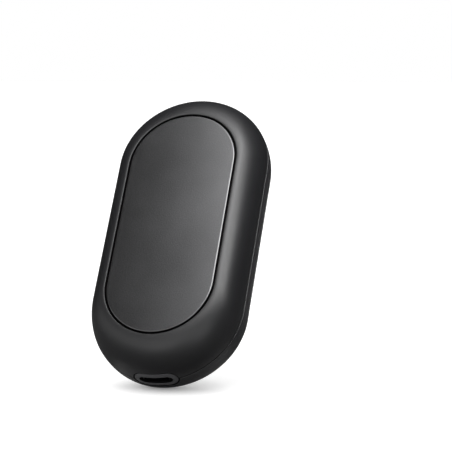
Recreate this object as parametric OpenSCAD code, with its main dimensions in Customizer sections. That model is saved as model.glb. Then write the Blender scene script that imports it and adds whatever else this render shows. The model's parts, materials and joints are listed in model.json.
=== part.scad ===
// Rechargeable hand warmer: two moulded half shells, a heated metal plate on one face,
// a power button with three status lights on the other, and a charging port at the lower end.
// Millimetres. The part stands on its port end: X across the palm, Y through the thickness
// (heating plate towards -Y, button towards +Y), Z along the length. The origin is its centre.
// The pieces are laid out lying down and then stood up: x across, y along the length
// (port end at -y) and z through the thickness, up towards the heating plate.

/* [Body] */
// Width of the body across the palm
body_w = 50; // [46:0.5:58]
// Length of the body from the port end to the button end
body_l = 102; // [96:0.5:112]
// Thickness of the body from the heating face to the button face
body_t = 23.2; // [21:0.1:27]
// Width of the rounded rim beside the flat face, along the sides
rim_side = 6.2; // [5.5:0.1:7]
// Width of the rounded rim beyond the flat face, at the ends
rim_end = 10.15; // [9.5:0.05:11.5]
// Wall thickness of the two shells
wall = 1.7; // [1.4:0.1:1.9]
// Fullness of the front shell's rounding, where 2 is a quarter of an ellipse
front_round = 1.8; // [1.7:0.1:2.6]
// Fullness of the rear shell's rounding
rear_round = 2.5; // [2:0.1:3]
// Chamfer of each shell's edge where the two shells meet
seam = 0.2; // [0.1:0.05:0.4]
// Height of the locating lip inside the seam
lip_h = 1.2; // [0.8:0.1:1.6]
// Thickness of the locating lip
lip_t = 0.8; // [0.6:0.1:0.9]

/* [Heating face] */
// Thickness of the metal heating plate
plate_t = 1.2; // [0.8:0.1:1.5]
// Gap all round between the plate and the edge of its recess
plate_gap = 0.7; // [0.4:0.1:1]
// Bevel round the top edge of the plate
plate_bevel = 0.3; // [0.1:0.05:0.4]
// Flat rim left between the recess and the rounding of the shell
recess_rim = 0.5; // [0.3:0.1:1]
// Bevel round the mouth of the recess
recess_bevel = 0.25; // [0.1:0.05:0.3]
// Thickness of the heater film, and of the tape ring beside it
film_t = 0.2; // [0.1:0.05:0.3]
// Thickness of the ledge that carries the plate
ledge_t = 1.4; // [1.2:0.1:1.6]
// Width of the ledge under the plate's long sides
ledge_side_w = 3.8; // [3:0.1:5]
// Width of the ledge under the plate's ends
ledge_end_w = 10.85; // [10:0.05:13]
// Corner radius of the window in the ledge
window_r = 3; // [2:0.5:5]
// Width of the heater film's tail
tail_w = 7; // [5:0.5:8]

/* [Battery] */
// Room between the battery pouch and the outside of the body at each side
battery_side_room = 9; // [8:0.1:12]
// Distance from the main board to the battery pouch
battery_from_board = 3.4; // [3:0.1:5]
// Distance from the battery pouch to the button end of the body
battery_to_end = 26.4; // [22:0.1:32]
// Radius of the pouch's rounded long edges
battery_r = 2; // [1:0.5:3]
// Wall thickness of the battery tray
tray_t = 1.2; // [1:0.1:1.4]
// Height of the tray's rim above its floor
tray_rim_h = 6; // [3:0.5:7]

/* [Button and lights] */
// Diameter of the power button
button_d = 11.7; // [10:0.1:13]
// Gap all round between the button and its hole
button_gap = 0.38; // [0.2:0.02:0.5]
// Distance from the button end of the body to the button's centre
button_from_end = 28.8; // [26:0.1:32]
// Width of the dished ring round the button's hole
dish_w = 1.77; // [1.2:0.01:2.4]
// Depth of the dished ring at the button
dish_depth = 0.8; // [0.4:0.1:0.9]
// Travel of the button
button_travel = 0.3; // [0.2:0.05:0.35]
// Distance from the dished ring to the centres of the status lights
light_from_dish = 3.6; // [3:0.1:4.5]
// Angle between neighbouring status lights, seen from the button's centre
light_step = 31; // [26:0.5:34]
// Diameter of the status lights' holes
light_hole_d = 1.25; // [1:0.05:1.5]

/* [Charging port] */
// Width of the port's surround
insert_w = 14.2; // [13.5:0.1:16]
// Height of the port's surround
insert_h = 6.4; // [5.6:0.1:7.4]
// Width of the opening in the surround
mouth_w = 11; // [10:0.1:12]
// Height of the opening in the surround
mouth_h = 3.5; // [3.4:0.05:4.2]
// Width of the socket's metal sleeve
socket_w = 8.94; // [8.8:0.01:9.2]
// Height of the socket's metal sleeve
socket_h = 3.26; // [3:0.01:3.4]
// Length of the socket's metal sleeve
socket_l = 7.3; // [6.5:0.1:8]

/* [Hidden] */

// Smoothness of round features, and of the outlines that the rounded shells are blended from
$fn = 72;
hull_fn = 40;
loft_steps = 8;

// Working values shared by all pieces
cut = 0.5;
slice_t = 0.02;
fit = 0.12;
screw_fit = 0.05;
touch_gap = 0.1;
board_t = 1;
half_w = body_w / 2;
half_l = body_l / 2;
half_t = body_t / 2;
port_y = -half_l;
button_y = half_l - button_from_end;

// Heating face: its levels are measured up from the seam
plate_z = half_t - plate_t;
ledge_z = plate_z - film_t;
ceiling = ledge_z - ledge_t;
rear_floor = half_t - wall;
recess_hw = half_w - rim_side - recess_rim;
recess_hl = half_l - rim_end - recess_rim;
plate_hw = recess_hw - plate_gap;
plate_hl = recess_hl - plate_gap;
window_w = 2 * (recess_hw - ledge_side_w);
window_l = 2 * (recess_hl - ledge_end_w);
film_gap = 0.2;

// Screws that hold the two shells together, hidden under the heating plate
// and set in from the round ends of its recess
boss_x = 10;
boss_inset = 2.25;
boss_y = recess_hl - recess_hw + sqrt(pow(recess_hw - boss_inset, 2) - pow(boss_x, 2));
front_boss_r = 2.9;
rear_boss_r = 2.4;
case_screw_r = 0.95;
case_head_r = 1.8;
case_head_h = 1.2;
case_head_clear = 0.15;
case_seat_z = 3;
case_screw_bite = 5;
case_pilot_depth = 6;
boss_places = [for (sx = [-1, 1], sy = [-1, 1]) [sx * boss_x, sy * boss_y]];

// Small screws that hold the two circuit boards, and the cross slots in all screw heads
post_r = 1.4;
small_screw_r = 0.55;
small_head_r = 1.15;
small_head_h = 0.75;
small_screw_bite = 3;
small_pilot_depth = 3.6;
slot_w = 0.35;
slot_depth_share = 0.4;
slot_reach_share = 0.65;

// Button stack, measured from the seam towards the button face
button_r = button_d / 2;
button_hole_r = button_r + button_gap;
dish_r = button_hole_r + dish_w;
button_sink = 0.3;
button_bevel = 0.25;
button_cap_h = 2.3;
button_flange_out = 1.1;
button_flange_r = button_r + button_flange_out;
button_flange_h = 0.6;
button_stem_r = 1.4;
button_stem_h = 0.4;
button_top = half_t - button_sink;
flange_top = button_top - button_cap_h;
stem_top = flange_top - button_flange_h;
guide_ring_gap = 0.3;
symbol_from_rim = 3;
symbol_r = button_r - symbol_from_rim;
symbol_line = 0.55;
symbol_depth = 0.25;
symbol_open = 60;
symbol_bar_l = 3.6;
symbol_bar_y = 1.5;
symbol_end_share = 0.49;

// Tactile switch under the button
plunger_top = stem_top - button_stem_h - touch_gap;
plunger_out = 0.6;
plunger_r = 1.7;
plunger_l = 1.6;
plunger_clear = 0.05;
switch_w = 6;
switch_h = 1.9;
switch_pocket = plunger_l - plunger_out + button_travel + touch_gap;
switch_top = plunger_top - plunger_out;
switch_rim = 0.5;
switch_corner_share = 0.55;

// Status lights
light_arc_r = dish_r + light_from_dish;
light_x = light_arc_r * sin(light_step);
light_low = light_arc_r * cos(light_step);
light_places = [
    for (a = [-light_step, 0, light_step]) [light_arc_r * sin(a), button_y + light_arc_r * cos(a)]
];
led_w = 0.8;
led_l = 1.6;
led_base_h = 0.4;
led_lens_h = 0.3;
led_lens_l = 1.1;
pin_fit = 0.08;
pin_r = light_hole_d / 2 - pin_fit;
pin_sink = 0.5;
pin_led_gap = 0.3;
pipe_bar_h = 1;
pipe_bar_rim = 0.3;

// Board behind the button, on two posts below the button and one beyond the lights
board_rim = 0.3;
post_from_flange = 0.85;
post_from_lights = 2.6;
lower_post_turn = 30;
lower_post_reach = button_flange_r + post_r + post_from_flange;
lower_post_x = lower_post_reach * sin(lower_post_turn);
lower_post_drop = lower_post_reach * cos(lower_post_turn);
upper_post_rise = light_arc_r + post_from_lights;
button_board_top = switch_top - switch_h;
button_board_hw = light_x + led_w / 2 + board_rim;
button_board_y0 = button_y - lower_post_drop - post_r - board_rim;
button_board_y1 = button_y + upper_post_rise + post_r + board_rim;
button_post_places = [
    [-lower_post_x, button_y - lower_post_drop],
    [lower_post_x, button_y - lower_post_drop],
    [0, button_y + upper_post_rise]
];

// Charging port: the surround is let into both shells, and the socket stands behind its mouth
insert_l = 4.6;
insert_back_y = port_y + insert_l;
ear_out = 1.1;
ear_inset = 1.2;
ear_w = insert_w + 2 * ear_out;
ear_h = insert_h - 2 * ear_inset;
ear_t = 0.8;
mouth_depth = 1.4;
socket_sink = 1.1;
socket_y = port_y + socket_sink;
socket_back_y = socket_y + socket_l;
socket_t = 0.3;
socket_clear = 0.12;
tongue_w = 6.7;
tongue_h = 0.7;
tongue_back = 0.6;
contact_count = 12;
contact_pitch = 0.5;
contact_w = 0.25;
contact_l = 3.2;
contact_t = 0.05;

// Main board, set so that the socket's centre lies on the seam
main_board_top = socket_h / 2;
main_board_bottom = main_board_top + board_t;
board_from_insert = 0.3;
board_past_socket = 9.2;
main_board_y0 = insert_back_y + board_from_insert;
main_board_y1 = socket_back_y + board_past_socket;
main_board_hw = 16.2;
board_edge_gap = 1;
main_post_x = 6.6;
main_post_inset = 2.1;
main_post_places = [for (sx = [-1, 1]) [sx * main_post_x, main_board_y0 + main_post_inset]];
boss_notch_clear = 0.3;

// Battery pouch, held down by the foam under the window; the tray fills the room left below it
foam_squeeze = 0.2;
battery_tape_t = 0.4;
tray_clear = 0.2;
tray_from_board = 1.2;
battery_w = body_w - 2 * battery_side_room;
battery_y = main_board_y1 + battery_from_board;
battery_l = half_l - battery_to_end - battery_y;
battery_z = ceiling - foam_squeeze;
tray_bottom_z = tray_from_board + board_t - button_board_top;
tray_floor_z = tray_bottom_z + tray_t;
battery_t = battery_z - tray_floor_z - battery_tape_t;
terminal_room = 2.8;
tray_hw = battery_w / 2 + tray_clear + tray_t;
tray_y0 = battery_y - tray_clear - tray_t;
tray_y1 = battery_y + battery_l + terminal_room + tray_t;
tray_corner_r = 1.8;
tray_post_r = 1.8;
tray_post_in = 4.4;
tray_post_from_end = 14;
tray_post_places = [
    for (sx = [-1, 1], y = [tray_y0 + tray_post_from_end, tray_y1 - tray_post_from_end])
        [sx * (tray_hw - tray_post_in), y]
];

// Heater film's tail, in the gap before the tray, and its connector on the main board
tail_t = 0.3;
tail_from_tray = 0.75;
tail_y = tray_y0 - tail_from_tray;
tail_level = 1;
tail_clear = 0.9;
connector_out = 1;
connector_w = tail_w + 2 * connector_out;
connector_l = 2.8;
connector_h = 1.5;
connector_inset = 1.8;
connector_y1 = main_board_y1 - connector_inset;

// Parts soldered to the main board, behind the socket and beside the shells' bosses
part_gap = 0.25;
chip_lead_w = 0.3;
chip_lead_out = 0.7;
chip_lead_t = 0.2;
chip_lead_pitch = 0.8;
chip_lead_count = 5;
chip_size = [4.2, 2.4, 1.2];
chip_from_socket = 2.6;
charging_size = [4, 4, 0.85];
charging_x = 10;
coil_size = [4.4, 4.4, 2.8];
coil_x = 10.2;
coil_corner_r = 0.8;
coil_core_r = 1.5;
coil_core_depth = 0.4;
cap_size = [1.6, 0.8, 0.8];
cap_x = 4.4;
cap_from_socket = 1.5;
cap_pitch = 1.6;
transistor_size = [1.4, 2.9, 1];
transistor_from_boss = 3.7;
sensor_size = [1.6, 0.8, 0.6];
sensor_pocket = [2.4, 1.6, 1];

// Battery terminals, and the leads that run past the tray to the main board
tab_w = 4;
tab_t = 0.2;
tab_x = 7;
tab_z = battery_z - battery_t / 2;
tab_l = 1.4;
protection_w = 20;
protection_inset = 1.6;
protection_h = battery_t - 2 * protection_inset;
lead_r = 0.55;
lead_clear = 0.15;
lead_from_tray = 0.55;
lead_x = tray_hw + lead_from_tray + lead_r;
lead_z = tray_floor_z + tray_rim_h + lead_clear + lead_r;
lead_start_x = 6;
lead_start_y = battery_y + battery_l + tab_l + board_t + lead_r;
lead_end_x = 15.4;
lead_end_inset = 2.1;
lead_end_y = main_board_y1 - lead_end_inset;
lead_turn_l = 1.5;

// Flat cable between the two boards
ribbon_hw = 2.8;
ribbon_t = 0.3;
ribbon_inset = 1;
ribbon_y0 = main_board_y1 - ribbon_inset;
ribbon_overlap = 2;

// Colours
shell_colour = "#2b2c2e";
plate_colour = "#55555a";
board_colour = "#1f4d33";
metal_colour = "#b9bcc0";
chip_colour = "#1b1b1d";

// Stands a piece up from the lying layout
module stand() {
    rotate([90, 0, 0]) children();
}

// The same, for pieces measured from the seam towards the button face
module rear_side() {
    stand() mirror([0, 0, 1]) children();
}

// Outline with two half-round ends, from its half width and half length
module stadium(hw, hl) {
    for (end = [-1, 1]) {
        translate([0, end * (hl - hw)]) circle(hw);
    }
    square([2 * hw, 2 * (hl - hw)], center = true);
}

// Rectangle with round corners, centred
module rounded_rect(w, l, r) {
    square([w - 2 * r, l], center = true);
    square([w, l - 2 * r], center = true);
    for (sx = [-1, 1], sy = [-1, 1]) {
        translate([sx * (w / 2 - r), sy * (l / 2 - r)]) circle(r);
    }
}

// Slot with half-round ends lying across the width, drawn in the plane of the port
module slot_prism(w, h, y0, y1) {
    translate([0, y1, 0])
        rotate([90, 0, 0])
            linear_extrude(y1 - y0) {
                for (end = [-1, 1]) {
                    translate([end * (w - h) / 2, 0]) circle(h / 2);
                }
                square([w - h, h], center = true);
            }
}

// Stadium solid whose side leans in by lean over its height h
module stadium_bevel(hw, hl, lean, h) {
    straight = hl - hw;
    for (end = [-1, 1]) {
        translate([0, end * straight, 0]) cylinder(r1 = hw, r2 = hw - lean, h = h);
    }
    translate([0, straight, 0])
        rotate([90, 0, 0])
            linear_extrude(2 * straight)
                polygon([[-hw, 0], [hw, 0], [hw - lean, h], [lean - hw, h]]);
}

// Box centred across x and y, standing on z
module block(size, x, y, z) {
    translate([x - size.x / 2, y - size.y / 2, z]) cube(size);
}

// One thin level of the body, drawn in from the widest outline by side and end
module level(side, end) {
    linear_extrude(slice_t) stadium(half_w - side, half_l - end, $fn = hull_fn);
}

// How far up and how far in each level of the rounding lies, as shares of its depth and rim
function rise_share(k, fullness) = pow(sin(90 * k / loft_steps), 2 / fullness);
function inset_share(k, fullness) = 1 - pow(cos(90 * k / loft_steps), 2 / fullness);

// Half of the body, rounded from the seam to the flat face; trim makes the hollow inside it
module half_body(depth, trim, fullness, chamfer, below) {
    hull() {
        translate([0, 0, -below]) level(trim + chamfer, trim + chamfer);
        translate([0, 0, chamfer]) level(trim, trim);
        for (k = [1 : loft_steps]) {
            side = trim + rim_side * inset_share(k, fullness);
            end = trim + rim_end * inset_share(k, fullness);
            translate([0, 0, depth * rise_share(k, fullness) - slice_t]) level(side, end);
        }
    }
}

// Screw standing on its seat at z, with its shank below and a cross slot in its head
module screw(head_r, head_h, shank_r, shank_l) {
    difference() {
        cylinder(r = head_r, h = head_h);
        for (turn = [0, 90]) {
            rotate([0, 0, turn])
                translate([-head_r * slot_reach_share, -slot_w / 2, head_h * (1 - slot_depth_share)])
                    cube([2 * head_r * slot_reach_share, slot_w, head_h]);
        }
    }
    translate([0, 0, -shank_l]) cylinder(r = shank_r, h = shank_l);
}

// Round wire through a list of points, each stretch running on by a radius at its ends
module wire(points, r) {
    for (i = [0 : len(points) - 2]) {
        step = points[i + 1] - points[i];
        flat = norm([step.x, step.y]);
        translate(points[i])
            rotate([0, atan2(flat, step.z), atan2(step.y, step.x)])
                translate([0, 0, -r]) cylinder(r = r, h = norm(step) + 2 * r);
    }
}

// Cut through both shells that the port's surround fits
module surround_cut() {
    slot_prism(insert_w + 2 * fit, insert_h + 2 * fit, port_y - cut, insert_back_y + cut);
}

module front_shell() {
    color(shell_colour) stand() difference() {
        half_body(half_t, 0, front_round, seam, 0);
        difference() {
            half_body(ceiling, wall, front_round, 0, cut);
            for (p = boss_places) {
                translate([p.x, p.y, 0]) cylinder(r = front_boss_r, h = half_t);
            }
        }
        translate([0, 0, ledge_z]) linear_extrude(half_t) stadium(recess_hw, recess_hl);
        translate([0, 0, half_t])
            mirror([0, 0, 1])
                stadium_bevel(
                    recess_hw + recess_bevel, recess_hl + recess_bevel, recess_bevel, recess_bevel
                );
        translate([0, 0, ceiling - cut]) linear_extrude(half_t) rounded_rect(window_w, window_l, window_r);
        slot_end = tail_y - tail_clear;
        block([tail_w + 2 * tail_clear, -slot_end, half_t], 0, slot_end / 2, ceiling - cut);
        translate([0, 0, -cut])
            linear_extrude(lip_h + touch_gap + cut)
                difference() {
                    stadium(half_w - wall + lip_t + touch_gap, half_l - wall + lip_t + touch_gap);
                    stadium(half_w - wall - fit, half_l - wall - fit);
                }
        for (p = boss_places) {
            translate([p.x, p.y, -cut]) cylinder(r = case_screw_r + screw_fit, h = half_t);
            translate([p.x, p.y, case_seat_z]) cylinder(r = case_head_r + case_head_clear, h = half_t);
        }
        surround_cut();
    }
}

module rear_shell() {
    color(shell_colour) rear_side() difference() {
        union() {
            half_body(half_t, 0, rear_round, seam, 0);
            translate([0, 0, -lip_h])
                linear_extrude(lip_h + cut)
                    difference() {
                        stadium(half_w - wall + lip_t, half_l - wall + lip_t);
                        stadium(half_w - wall, half_l - wall);
                    }
        }
        difference() {
            half_body(rear_floor, wall, rear_round, 0, cut);
            for (p = boss_places) {
                translate([p.x, p.y, 0]) cylinder(r = rear_boss_r, h = half_t);
            }
            for (p = main_post_places) {
                translate([p.x, p.y, main_board_bottom]) cylinder(r = post_r, h = half_t);
            }
            for (p = button_post_places) {
                translate([p.x, p.y, button_board_top]) cylinder(r = post_r, h = half_t);
            }
            for (p = tray_post_places) {
                translate([p.x, p.y, -tray_bottom_z]) cylinder(r = tray_post_r, h = half_t);
            }
            translate([0, button_y, flange_top + guide_ring_gap]) cylinder(r = dish_r, h = half_t);
        }
        for (p = boss_places) {
            translate([p.x, p.y, -cut]) cylinder(r = case_screw_r + screw_fit, h = case_pilot_depth + cut);
        }
        for (p = main_post_places) {
            translate([p.x, p.y, main_board_bottom - cut])
                cylinder(r = small_screw_r + screw_fit, h = small_pilot_depth + cut);
        }
        for (p = button_post_places) {
            translate([p.x, p.y, button_board_top - cut])
                cylinder(r = small_screw_r + screw_fit, h = small_pilot_depth + cut);
        }
        translate([0, button_y, 0]) cylinder(r = button_hole_r, h = body_t);
        translate([0, button_y, half_t - dish_depth])
            cylinder(r1 = button_hole_r, r2 = dish_r, h = dish_depth);
        for (p = light_places) {
            translate([p.x, p.y, 0]) cylinder(r = light_hole_d / 2, h = body_t);
        }
        surround_cut();
    }
}

module heating_plate() {
    color(plate_colour) stand() {
        translate([0, 0, plate_z])
            linear_extrude(plate_t - plate_bevel) stadium(plate_hw, plate_hl);
        translate([0, 0, half_t - plate_bevel])
            stadium_bevel(plate_hw, plate_hl, plate_bevel, plate_bevel);
    }
}

module plate_tape() {
    color("#d8d4c8") stand() translate([0, 0, ledge_z]) linear_extrude(film_t) difference() {
        stadium(plate_hw, plate_hl);
        rounded_rect(window_w, window_l, window_r);
        slot_end = tail_y - tail_clear;
        translate([-tail_w / 2 - tail_clear, slot_end]) square([tail_w + 2 * tail_clear, -slot_end]);
    }
}

module heater_film() {
    film_w = window_w - 2 * film_gap;
    film_l = window_l - 2 * film_gap;
    tail_run = tail_y - connector_y1;
    color("#b3671f") stand() {
        translate([0, 0, ledge_z]) linear_extrude(film_t) rounded_rect(film_w, film_l, window_r);
        translate([-tail_w / 2, tail_y - tail_t, ledge_z])
            cube([tail_w, -tail_y - film_l / 2 + tail_t + window_r, film_t]);
        translate([-tail_w / 2, tail_y - tail_t, -tail_level])
            cube([tail_w, tail_t, ledge_z + tail_level + film_t]);
        translate([-tail_w / 2, tail_y - tail_run, -tail_level])
            cube([tail_w, tail_run, tail_t]);
    }
}

module foam_pad() {
    pad_w = window_w - 4 * film_gap;
    pad_l = window_l - 4 * film_gap;
    color("#7d8085") stand() difference() {
        translate([0, 0, battery_z])
            linear_extrude(ledge_z - battery_z) rounded_rect(pad_w, pad_l, window_r);
        block([sensor_pocket.x, sensor_pocket.y, sensor_pocket.z + cut], 0, 0, ledge_z - sensor_pocket.z);
    }
}

module temperature_sensor() {
    color("#3a3030") stand() block(sensor_size, 0, 0, ledge_z - sensor_size.z);
}

// Soft pouch cell, a flat block with rounded long edges
module battery_pouch() {
    color("#c9cbd0") stand()
        translate([0, battery_y + battery_l, battery_z - battery_t / 2])
            rotate([90, 0, 0])
                linear_extrude(battery_l) rounded_rect(battery_w, battery_t, battery_r);
}

module battery_tabs() {
    color(metal_colour) stand()
        for (sx = [-1, 1]) {
            translate([sx * tab_x - tab_w / 2, battery_y + battery_l, tab_z])
                cube([tab_w, tab_l, tab_t]);
        }
}

module protection_board() {
    color(board_colour) stand()
        block([protection_w, board_t, protection_h],
            0, battery_y + battery_l + tab_l + board_t / 2, tab_z - protection_h / 2);
}

module battery_tape() {
    color("#e6e6e0") stand()
        block([battery_w - 2 * battery_r, battery_l - 2 * battery_r, battery_tape_t],
            0, battery_y + battery_l / 2, tray_floor_z);
}

module battery_tray() {
    tray_l = tray_y1 - tray_y0;
    color("#3c3d40") stand()
        translate([0, (tray_y0 + tray_y1) / 2, tray_bottom_z])
            difference() {
                linear_extrude(tray_t + tray_rim_h) rounded_rect(2 * tray_hw, tray_l, tray_corner_r);
                translate([0, 0, tray_t])
                    linear_extrude(tray_rim_h + cut)
                        rounded_rect(2 * (tray_hw - tray_t), tray_l - 2 * tray_t, tray_corner_r - tray_t);
            }
}

// Route of one battery lead, mirrored by side
function lead_route(side) = [
    [side * lead_start_x, lead_start_y, lead_z],
    [side * lead_x, lead_start_y, lead_z],
    [side * lead_x, lead_end_y + lead_turn_l, lead_z],
    [side * lead_end_x, lead_end_y, lead_z - 2 * lead_r],
    [side * lead_end_x, lead_end_y, lead_r - main_board_top + touch_gap]
];

module red_lead() {
    color("#b02020") stand() wire(lead_route(1), lead_r);
}

module black_lead() {
    color("#202020") stand() wire(lead_route(-1), lead_r);
}

module main_board() {
    color(board_colour) rear_side() difference() {
        translate([0, 0, main_board_top]) linear_extrude(board_t) intersection() {
            translate([-main_board_hw, main_board_y0])
                square([2 * main_board_hw, main_board_y1 - main_board_y0]);
            stadium(half_w - wall - board_edge_gap, half_l - wall - board_edge_gap);
        }
        for (p = boss_places) {
            translate([p.x, p.y, 0]) cylinder(r = rear_boss_r + boss_notch_clear, h = half_t);
        }
        for (p = main_post_places) {
            translate([p.x, p.y, 0]) cylinder(r = small_screw_r + screw_fit, h = half_t);
        }
    }
}

module socket_sleeve() {
    color(metal_colour) stand() difference() {
        slot_prism(socket_w, socket_h, socket_y, socket_y + socket_l);
        slot_prism(socket_w - 2 * socket_t, socket_h - 2 * socket_t,
            socket_y - cut, socket_y + socket_l - socket_t);
    }
}

module socket_tongue() {
    color(chip_colour) stand()
        translate([-tongue_w / 2, socket_y + tongue_back, -tongue_h / 2])
            cube([tongue_w, socket_l - socket_t - tongue_back, tongue_h]);
}

module socket_contacts() {
    row_l = (contact_count - 1) * contact_pitch;
    color("#d2a84a") stand()
        for (i = [0 : contact_count - 1], face = [-1, 1]) {
            translate([
                i * contact_pitch - row_l / 2 - contact_w / 2,
                socket_y + 2 * tongue_back,
                face > 0 ? tongue_h / 2 : -tongue_h / 2 - contact_t
            ])
                cube([contact_w, contact_l, contact_t]);
        }
}

// Ring round the socket, flush with the rounded end of the body and held by two ears behind the wall
module port_surround() {
    color("#3e3f42") stand() difference() {
        union() {
            intersection() {
                union() {
                    half_body(half_t, 0, front_round, 0, 0);
                    mirror([0, 0, 1]) half_body(half_t, 0, rear_round, 0, 0);
                }
                slot_prism(insert_w, insert_h, port_y - cut, insert_back_y);
            }
            translate([-ear_w / 2, insert_back_y - ear_t, -ear_h / 2]) cube([ear_w, ear_t, ear_h]);
        }
        slot_prism(mouth_w, mouth_h, port_y - cut, port_y + mouth_depth);
        slot_prism(socket_w + 2 * socket_clear, socket_h + 2 * socket_clear, port_y, insert_back_y + cut);
    }
}

// Place along the main board of a part of length l that lies just before the bosses
function before_boss(l) = -boss_y - front_boss_r - part_gap - l / 2;

module charging_chip() {
    color(chip_colour) rear_side()
        block(charging_size, charging_x, before_boss(charging_size.y), main_board_top - charging_size.z);
}

// Chip body with a row of short leads along each side
module control_chip() {
    y = socket_back_y + chip_from_socket;
    row_l = (chip_lead_count - 1) * chip_lead_pitch;
    color(chip_colour) rear_side() {
        block(chip_size, 0, y, main_board_top - chip_size.z);
        for (i = [0 : chip_lead_count - 1]) {
            block([chip_lead_w, chip_size.y + 2 * chip_lead_out, chip_lead_t],
                i * chip_lead_pitch - row_l / 2, y, main_board_top - chip_lead_t);
        }
    }
}

module power_coil() {
    color("#4a4742") rear_side()
        translate([-coil_x, before_boss(coil_size.y), main_board_top - coil_size.z])
            difference() {
                linear_extrude(coil_size.z) rounded_rect(coil_size.x, coil_size.y, coil_corner_r);
                translate([0, 0, -cut]) cylinder(r = coil_core_r, h = coil_core_depth + cut);
            }
}

module capacitors() {
    color("#a08a6c") rear_side()
        for (side = [-1, 1], row = [0, 1]) {
            block(cap_size, side * cap_x, socket_back_y + cap_from_socket + row * cap_pitch,
                main_board_top - cap_size.z);
        }
}

module heater_transistor() {
    color(chip_colour) rear_side()
        block(transistor_size, -boss_x - transistor_from_boss, lead_end_y,
            main_board_top - transistor_size.z);
}

module film_connector() {
    color("#e8e4d8") rear_side()
        block([connector_w, connector_l, connector_h], 0, connector_y1 - connector_l / 2,
            main_board_top - connector_h);
}

module main_board_screws() {
    color(metal_colour) rear_side()
        for (p = main_post_places) {
            translate([p.x, p.y, main_board_top])
                mirror([0, 0, 1])
                    screw(small_head_r, small_head_h, small_screw_r, board_t + small_screw_bite);
        }
}

module button_board() {
    board_l = button_board_y1 - button_board_y0;
    color(board_colour) rear_side() difference() {
        block([2 * button_board_hw, board_l, board_t], 0, button_board_y0 + board_l / 2,
            button_board_top - board_t);
        for (p = button_post_places) {
            translate([p.x, p.y, 0]) cylinder(r = small_screw_r + screw_fit, h = half_t);
        }
    }
}

module switch_body() {
    color("#2c2c2c") rear_side() difference() {
        block([switch_w, switch_w, switch_h], 0, button_y, button_board_top);
        translate([0, button_y, switch_top - switch_pocket])
            cylinder(r = plunger_r + plunger_clear, h = switch_h);
        for (turn = [0 : 90 : 270]) {
            translate([0, button_y, switch_top - switch_rim])
                rotate([0, 0, turn + 45])
                    translate([switch_w * switch_corner_share, -switch_w, 0])
                        cube([switch_w, 2 * switch_w, switch_h]);
        }
    }
}

module switch_plunger() {
    color("#c8c4bc") rear_side()
        translate([0, button_y, plunger_top - plunger_l]) cylinder(r = plunger_r, h = plunger_l);
}

module status_leds() {
    color("#efe9c8") rear_side()
        for (p = light_places) {
            block([led_w, led_l, led_base_h], p.x, p.y, button_board_top);
            block([led_w, led_lens_l, led_lens_h], p.x, p.y, button_board_top + led_base_h);
        }
}

// One clear moulding: a bar against the wall, with a pin for each light through it
module light_pipe() {
    pin_start = button_board_top + led_base_h + led_lens_h + pin_led_gap;
    around = 2 * (pin_r + pipe_bar_rim);
    bar_size = [2 * light_x + around, light_arc_r - light_low + around, pipe_bar_h];
    color("#dfe6ea") rear_side() {
        block(bar_size, 0, button_y + (light_arc_r + light_low) / 2, rear_floor - pipe_bar_h);
        for (p = light_places) {
            translate([p.x, p.y, pin_start]) cylinder(r = pin_r, h = half_t - pin_sink - pin_start);
        }
    }
}

module button_board_screws() {
    color(metal_colour) rear_side()
        for (p = button_post_places) {
            translate([p.x, p.y, button_board_top - board_t])
                mirror([0, 0, 1])
                    screw(small_head_r, small_head_h, small_screw_r, board_t + small_screw_bite);
        }
}

module board_ribbon() {
    ribbon_l = button_board_y0 + ribbon_overlap - ribbon_y0;
    color("#d9d9d6") rear_side() {
        translate([-ribbon_hw, ribbon_y0, button_board_top]) cube([2 * ribbon_hw, ribbon_l, ribbon_t]);
        translate([-ribbon_hw, ribbon_y0, main_board_bottom])
            cube([2 * ribbon_hw, ribbon_t, button_board_top + ribbon_t - main_board_bottom]);
    }
}

// Arc with a gap at the top and a bar in the gap
module power_symbol() {
    difference() {
        circle(symbol_r + symbol_line / 2);
        circle(symbol_r - symbol_line / 2);
        polygon([
            [0, 0],
            2 * symbol_r * [sin(symbol_open), cos(symbol_open)],
            [2 * symbol_r, 3 * symbol_r],
            [-2 * symbol_r, 3 * symbol_r],
            2 * symbol_r * [-sin(symbol_open), cos(symbol_open)]
        ]);
    }
    for (side = [-1, 1]) {
        translate(symbol_r * [side * sin(symbol_open), cos(symbol_open)]) circle(symbol_line / 2);
    }
    translate([0, symbol_bar_y])
        rounded_rect(symbol_line, symbol_bar_l, symbol_line * symbol_end_share);
}

module power_button() {
    color("#303133") rear_side() translate([0, button_y, 0]) difference() {
        union() {
            translate([0, 0, button_top - button_bevel])
                cylinder(r1 = button_r, r2 = button_r - button_bevel, h = button_bevel);
            translate([0, 0, flange_top]) cylinder(r = button_r, h = button_cap_h - button_bevel);
            translate([0, 0, stem_top]) cylinder(r = button_flange_r, h = button_flange_h);
            translate([0, 0, stem_top - button_stem_h]) cylinder(r = button_stem_r, h = button_stem_h);
        }
        translate([0, 0, button_top - symbol_depth]) linear_extrude(symbol_depth + cut) power_symbol();
    }
}

module case_screws() {
    color(metal_colour) stand()
        for (p = boss_places) {
            translate([p.x, p.y, case_seat_z])
                screw(case_head_r, case_head_h, case_screw_r, case_seat_z + case_screw_bite);
        }
}

front_shell();
rear_shell();
heating_plate();
plate_tape();
heater_film();
foam_pad();
temperature_sensor();
battery_pouch();
battery_tabs();
protection_board();
battery_tape();
battery_tray();
red_lead();
black_lead();
main_board();
socket_sleeve();
socket_tongue();
socket_contacts();
port_surround();
charging_chip();
control_chip();
power_coil();
capacitors();
heater_transistor();
film_connector();
main_board_screws();
button_board();
switch_body();
switch_plunger();
status_leds();
light_pipe();
button_board_screws();
board_ribbon();
power_button();
case_screws();
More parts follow.
